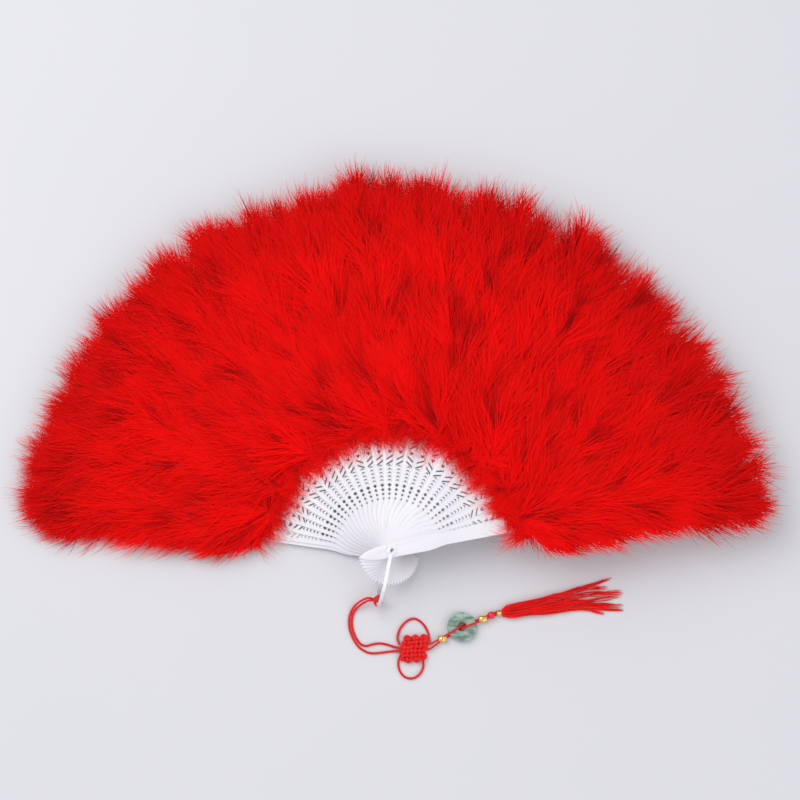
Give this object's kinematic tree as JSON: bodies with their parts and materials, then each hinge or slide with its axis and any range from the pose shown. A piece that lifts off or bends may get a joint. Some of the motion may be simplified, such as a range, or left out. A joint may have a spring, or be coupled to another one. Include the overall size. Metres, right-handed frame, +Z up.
{
  "type": "feather fan",
  "caption": "Folding hand fan, open: pierced white sticks on one rivet, red feather plumes, wire bail with knotted cord, jade ring, beads and tassel.",
  "frame": {"origin": "centre of the flat foot of the rivet, at the bottom of the stack of sticks", "axes": "+Z up along the rivet; +X towards the front guard's side of the open fan; +Y towards the middle plumes"},
  "size_m": [0.4817, 0.3277, 0.0374],
  "materials": {
    "stick_plastic": "white moulded plastic with a soft gloss and a faint cool cast",
    "feather": "dyed scarlet down, matt, with fine loose barbs",
    "rivet_steel": "plain steel rivet, satin",
    "bail_nickel": "bright nickel plate",
    "cord_red": "satin braided cord",
    "tassel_yarn": "glossy rayon thread",
    "bead_gold": "gold plate on a fluted spacer bead",
    "jade": "polished, mottled pale green",
    "bead_red": "polished deep red"
  },
  "bodies": {
    "back_guard": {"back_guard": "stick_plastic", "pivot_rivet": "rivet_steel", "rivet_cap": "rivet_steel"},
    "front_guard": {"front_guard": "stick_plastic", "plume_front": "feather"},
    "rib_01": {"rib_01": "stick_plastic", "plume_01": "feather"},
    "rib_02": {"rib_02": "stick_plastic"},
    "rib_03": {"rib_03": "stick_plastic", "plume_03": "feather"},
    "rib_04": {"rib_04": "stick_plastic"},
    "rib_05": {"rib_05": "stick_plastic", "plume_05": "feather"},
    "rib_06": {"rib_06": "stick_plastic"},
    "rib_07": {"rib_07": "stick_plastic", "plume_07": "feather"},
    "rib_08": {"rib_08": "stick_plastic"},
    "rib_09": {"rib_09": "stick_plastic", "plume_09": "feather"},
    "rib_10": {"rib_10": "stick_plastic"},
    "rib_11": {"rib_11": "stick_plastic", "plume_11": "feather"},
    "rib_12": {"rib_12": "stick_plastic"},
    "rib_13": {"rib_13": "stick_plastic", "plume_13": "feather"},
    "rib_14": {"rib_14": "stick_plastic"},
    "rib_15": {"rib_15": "stick_plastic", "plume_15": "feather"},
    "rib_16": {"rib_16": "stick_plastic"},
    "rib_17": {"rib_17": "stick_plastic", "plume_17": "feather"},
    "rib_18": {"rib_18": "stick_plastic"},
    "rib_19": {"rib_19": "stick_plastic", "plume_19": "feather"},
    "rib_20": {"rib_20": "stick_plastic"},
    "rib_21": {"rib_21": "stick_plastic", "plume_21": "feather"},
    "rib_22": {"rib_22": "stick_plastic"},
    "rib_23": {"rib_23": "stick_plastic", "plume_23": "feather"},
    "rib_24": {"rib_24": "stick_plastic"},
    "rib_25": {"rib_25": "stick_plastic", "plume_25": "feather"},
    "rib_26": {"rib_26": "stick_plastic"},
    "bail": {"bail": "bail_nickel", "cord_hitch": "cord_red", "cord_strand_outer": "cord_red", "cord_strand_inner": "cord_red", "knot_body": "cord_red", "knot_ear_upper": "cord_red", "knot_ear_lower": "cord_red", "pendant_strand_upper": "cord_red", "pendant_strand_lower": "cord_red", "gold_bead_1": "bead_gold", "jade_disc": "jade", "gold_bead_2": "bead_gold", "red_bead": "bead_red", "gold_bead_3": "bead_gold", "tassel": "tassel_yarn"}
  },
  "joints": [
    {"name": "fan_fold", "type": "hinge", "parent": "back_guard", "child": "front_guard", "pos_m": [0, 0, 0], "axis": [0, 0, 1], "range_deg": [0, 157.5]},
    {"name": "rib_01_turn", "type": "hinge", "parent": "back_guard", "child": "rib_01", "pos_m": [0, 0, 0], "axis": [0, 0, 1], "range_deg": [0, 1.41]},
    {"name": "rib_02_turn", "type": "hinge", "parent": "back_guard", "child": "rib_02", "pos_m": [0, 0, 0], "axis": [0, 0, 1], "range_deg": [0, 6.64]},
    {"name": "rib_03_turn", "type": "hinge", "parent": "back_guard", "child": "rib_03", "pos_m": [0, 0, 0], "axis": [0, 0, 1], "range_deg": [0, 11.94]},
    {"name": "rib_04_turn", "type": "hinge", "parent": "back_guard", "child": "rib_04", "pos_m": [0, 0, 0], "axis": [0, 0, 1], "range_deg": [0, 17.31]},
    {"name": "rib_05_turn", "type": "hinge", "parent": "back_guard", "child": "rib_05", "pos_m": [0, 0, 0], "axis": [0, 0, 1], "range_deg": [0, 22.75]},
    {"name": "rib_06_turn", "type": "hinge", "parent": "back_guard", "child": "rib_06", "pos_m": [0, 0, 0], "axis": [0, 0, 1], "range_deg": [0, 28.25]},
    {"name": "rib_07_turn", "type": "hinge", "parent": "back_guard", "child": "rib_07", "pos_m": [0, 0, 0], "axis": [0, 0, 1], "range_deg": [0, 33.83]},
    {"name": "rib_08_turn", "type": "hinge", "parent": "back_guard", "child": "rib_08", "pos_m": [0, 0, 0], "axis": [0, 0, 1], "range_deg": [0, 39.47]},
    {"name": "rib_09_turn", "type": "hinge", "parent": "back_guard", "child": "rib_09", "pos_m": [0, 0, 0], "axis": [0, 0, 1], "range_deg": [0, 45.18]},
    {"name": "rib_10_turn", "type": "hinge", "parent": "back_guard", "child": "rib_10", "pos_m": [0, 0, 0], "axis": [0, 0, 1], "range_deg": [0, 50.96]},
    {"name": "rib_11_turn", "type": "hinge", "parent": "back_guard", "child": "rib_11", "pos_m": [0, 0, 0], "axis": [0, 0, 1], "range_deg": [0, 56.81]},
    {"name": "rib_12_turn", "type": "hinge", "parent": "back_guard", "child": "rib_12", "pos_m": [0, 0, 0], "axis": [0, 0, 1], "range_deg": [0, 62.72]},
    {"name": "rib_13_turn", "type": "hinge", "parent": "back_guard", "child": "rib_13", "pos_m": [0, 0, 0], "axis": [0, 0, 1], "range_deg": [0, 68.7]},
    {"name": "rib_14_turn", "type": "hinge", "parent": "back_guard", "child": "rib_14", "pos_m": [0, 0, 0], "axis": [0, 0, 1], "range_deg": [0, 74.75]},
    {"name": "rib_15_turn", "type": "hinge", "parent": "back_guard", "child": "rib_15", "pos_m": [0, 0, 0], "axis": [0, 0, 1], "range_deg": [0, 80.87]},
    {"name": "rib_16_turn", "type": "hinge", "parent": "back_guard", "child": "rib_16", "pos_m": [0, 0, 0], "axis": [0, 0, 1], "range_deg": [0, 87.06]},
    {"name": "rib_17_turn", "type": "hinge", "parent": "back_guard", "child": "rib_17", "pos_m": [0, 0, 0], "axis": [0, 0, 1], "range_deg": [0, 93.31]},
    {"name": "rib_18_turn", "type": "hinge", "parent": "back_guard", "child": "rib_18", "pos_m": [0, 0, 0], "axis": [0, 0, 1], "range_deg": [0, 99.63]},
    {"name": "rib_19_turn", "type": "hinge", "parent": "back_guard", "child": "rib_19", "pos_m": [0, 0, 0], "axis": [0, 0, 1], "range_deg": [0, 106.02]},
    {"name": "rib_20_turn", "type": "hinge", "parent": "back_guard", "child": "rib_20", "pos_m": [0, 0, 0], "axis": [0, 0, 1], "range_deg": [0, 112.48]},
    {"name": "rib_21_turn", "type": "hinge", "parent": "back_guard", "child": "rib_21", "pos_m": [0, 0, 0], "axis": [0, 0, 1], "range_deg": [0, 119]},
    {"name": "rib_22_turn", "type": "hinge", "parent": "back_guard", "child": "rib_22", "pos_m": [0, 0, 0], "axis": [0, 0, 1], "range_deg": [0, 125.6]},
    {"name": "rib_23_turn", "type": "hinge", "parent": "back_guard", "child": "rib_23", "pos_m": [0, 0, 0], "axis": [0, 0, 1], "range_deg": [0, 132.26]},
    {"name": "rib_24_turn", "type": "hinge", "parent": "back_guard", "child": "rib_24", "pos_m": [0, 0, 0], "axis": [0, 0, 1], "range_deg": [0, 138.99]},
    {"name": "rib_25_turn", "type": "hinge", "parent": "back_guard", "child": "rib_25", "pos_m": [0, 0, 0], "axis": [0, 0, 1], "range_deg": [0, 145.79]},
    {"name": "rib_26_turn", "type": "hinge", "parent": "back_guard", "child": "rib_26", "pos_m": [0, 0, 0], "axis": [0, 0, 1], "range_deg": [0, 152.66]},
    {"name": "bail_swing", "type": "hinge", "parent": "back_guard", "child": "bail", "pos_m": [0, 0, 0], "axis": [0, 0, 1], "range_deg": [-55, 84]}
  ],
  "couplings": [
    {"joint": "rib_01_turn", "follows": "fan_fold", "ratio": 0.008888},
    {"joint": "rib_02_turn", "follows": "fan_fold", "ratio": 0.04212},
    {"joint": "rib_03_turn", "follows": "fan_fold", "ratio": 0.075784},
    {"joint": "rib_04_turn", "follows": "fan_fold", "ratio": 0.10988},
    {"joint": "rib_05_turn", "follows": "fan_fold", "ratio": 0.14441},
    {"joint": "rib_06_turn", "follows": "fan_fold", "ratio": 0.17936},
    {"joint": "rib_07_turn", "follows": "fan_fold", "ratio": 0.21476},
    {"joint": "rib_08_turn", "follows": "fan_fold", "ratio": 0.25058},
    {"joint": "rib_09_turn", "follows": "fan_fold", "ratio": 0.28683},
    {"joint": "rib_10_turn", "follows": "fan_fold", "ratio": 0.32352},
    {"joint": "rib_11_turn", "follows": "fan_fold", "ratio": 0.36063},
    {"joint": "rib_12_turn", "follows": "fan_fold", "ratio": 0.39818},
    {"joint": "rib_13_turn", "follows": "fan_fold", "ratio": 0.43617},
    {"joint": "rib_14_turn", "follows": "fan_fold", "ratio": 0.47458},
    {"joint": "rib_15_turn", "follows": "fan_fold", "ratio": 0.51342},
    {"joint": "rib_16_turn", "follows": "fan_fold", "ratio": 0.5527},
    {"joint": "rib_17_turn", "follows": "fan_fold", "ratio": 0.59241},
    {"joint": "rib_18_turn", "follows": "fan_fold", "ratio": 0.63255},
    {"joint": "rib_19_turn", "follows": "fan_fold", "ratio": 0.67312},
    {"joint": "rib_20_turn", "follows": "fan_fold", "ratio": 0.71412},
    {"joint": "rib_21_turn", "follows": "fan_fold", "ratio": 0.75555},
    {"joint": "rib_22_turn", "follows": "fan_fold", "ratio": 0.79742},
    {"joint": "rib_23_turn", "follows": "fan_fold", "ratio": 0.83972},
    {"joint": "rib_24_turn", "follows": "fan_fold", "ratio": 0.88245},
    {"joint": "rib_25_turn", "follows": "fan_fold", "ratio": 0.92561},
    {"joint": "rib_26_turn", "follows": "fan_fold", "ratio": 0.96921}
  ]
}
